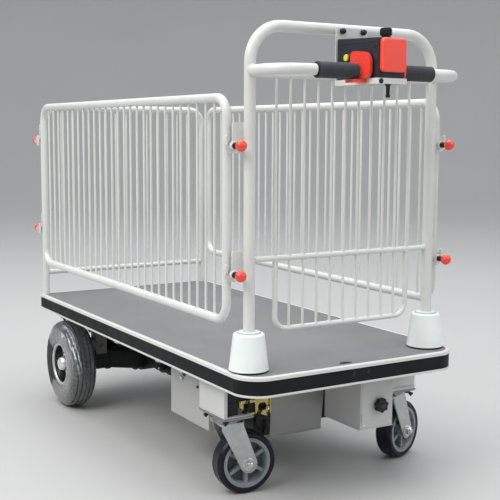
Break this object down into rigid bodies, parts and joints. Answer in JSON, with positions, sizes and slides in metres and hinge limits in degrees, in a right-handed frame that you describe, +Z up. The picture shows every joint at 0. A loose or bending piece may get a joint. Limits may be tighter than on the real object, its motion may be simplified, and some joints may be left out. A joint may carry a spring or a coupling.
{
  "type": "electric platform cart",
  "caption": "Powered hand-guided platform cart with folding-style tube gates, hoop handle with thumb controls, swivel casters and driven rear wheels",
  "frame": {"origin": "On the floor, under the middle of the whole cart's bounding box; the wheels stand on z = 0. The deck's own middle lies at x = -0.0197, y = 0.04125, because the right caster is turned outwards.", "axes": "+X to the right seen from the handle, +Y away from the handle towards the far gate, +Z up."},
  "size_m": [0.671, 1.4109, 1.0777],
  "materials": {
    "paint_white": "satin powder coat",
    "paint_light": "satin powder coat",
    "paint_grey": "satin powder coat",
    "plastic_white": "moulded, satin",
    "mat_grey": "fine ribbed mat",
    "rubber_black": "smooth bumper band",
    "foam_dark": "matt grip foam",
    "plastic_dark": "fine grain",
    "plastic_red": "glossy moulding",
    "plastic_yellow": "glossy moulding",
    "steel_dark": "oiled black",
    "steel_galvanised": "zinc plated",
    "zinc_gold": "yellow passivated",
    "rim_grey": "moulded, satin",
    "rim_silver": "bright",
    "tyre_navy": "smooth rubber tread",
    "tyre_black": "new rubber"
  },
  "bodies": {
    "chassis": {"deck_tray": "paint_white", "deck_ribs": "paint_white", "bumper_band": "rubber_black", "deck_mat": "mat_grey", "post_collars": "plastic_white", "handle_hoop": "paint_white", "handle_grille": "paint_white", "handlebar": "paint_white", "grips": "foam_dark", "control_bracket": "paint_white", "control_box": "plastic_dark", "emergency_pad": "plastic_red", "throttle_paddles": "plastic_red", "key_knob": "plastic_dark", "indicator_button": "plastic_yellow", "selector_lever": "plastic_dark", "far_gate_frame": "paint_white", "far_gate_grille": "paint_white", "latch_plates": "paint_white", "latch_plungers": "steel_dark", "ball_knobs": "plastic_red", "caster_mounts": "paint_white", "caster_plates": "steel_galvanised", "rear_axle": "paint_grey", "drive_motor": "plastic_dark", "axle_brackets": "paint_grey", "battery_box": "paint_grey", "side_box": "paint_grey", "knob_box": "paint_light", "star_knob": "plastic_dark", "relay_units": "plastic_dark", "zinc_brackets": "zinc_gold"},
    "gate_left": {"gate_left_frame": "paint_white", "gate_left_bars": "paint_white"},
    "gate_right": {"gate_right_frame": "paint_white", "gate_right_bars": "paint_white"},
    "caster_left": {"caster_fork_left": "steel_galvanised"},
    "caster_left_wheel": {"caster_rim_left": "rim_grey", "caster_tyre_left": "tyre_navy"},
    "caster_right": {"caster_fork_right": "steel_galvanised"},
    "caster_right_wheel": {"caster_rim_right": "rim_grey", "caster_tyre_right": "tyre_navy"},
    "rear_wheel_left": {"rear_tyre_left": "tyre_black", "rear_rim_left": "rim_silver"},
    "rear_wheel_right": {"rear_tyre_right": "tyre_black", "rear_rim_right": "rim_silver"}
  },
  "joints": [
    {"name": "gate_left_swing", "type": "hinge", "parent": "chassis", "child": "gate_left", "pos_m": [-0.3237, 0.66025, 0.672], "axis": [0, 0, -1], "range_deg": [0, 90]},
    {"name": "gate_right_swing", "type": "hinge", "parent": "chassis", "child": "gate_right", "pos_m": [0.2843, 0.66025, 0.672], "axis": [0, 0, 1], "range_deg": [0, 90]},
    {"name": "caster_left_swivel", "type": "hinge", "parent": "chassis", "child": "caster_left", "pos_m": [-0.2597, -0.41475, 0.176], "axis": [0, 0, 1], "continuous": true},
    {"name": "caster_left_roll", "type": "hinge", "parent": "caster_left", "child": "caster_left_wheel", "pos_m": [-0.21541, -0.42003, 0.0735], "axis": [-0.1184, -0.993, 0], "continuous": true},
    {"name": "caster_right_swivel", "type": "hinge", "parent": "chassis", "child": "caster_right", "pos_m": [0.2203, -0.41475, 0.176], "axis": [0, 0, 1], "continuous": true},
    {"name": "caster_right_roll", "type": "hinge", "parent": "caster_right", "child": "caster_right_wheel", "pos_m": [0.26242, -0.40008, 0.0735], "axis": [0.3289, -0.9444, 0], "continuous": true},
    {"name": "rear_left_roll", "type": "hinge", "parent": "chassis", "child": "rear_wheel_left", "pos_m": [-0.2947, 0.48725, 0.132], "axis": [1, 0, 0], "continuous": true},
    {"name": "rear_right_roll", "type": "hinge", "parent": "chassis", "child": "rear_wheel_right", "pos_m": [0.2553, 0.48725, 0.132], "axis": [1, 0, 0], "continuous": true}
  ]
}
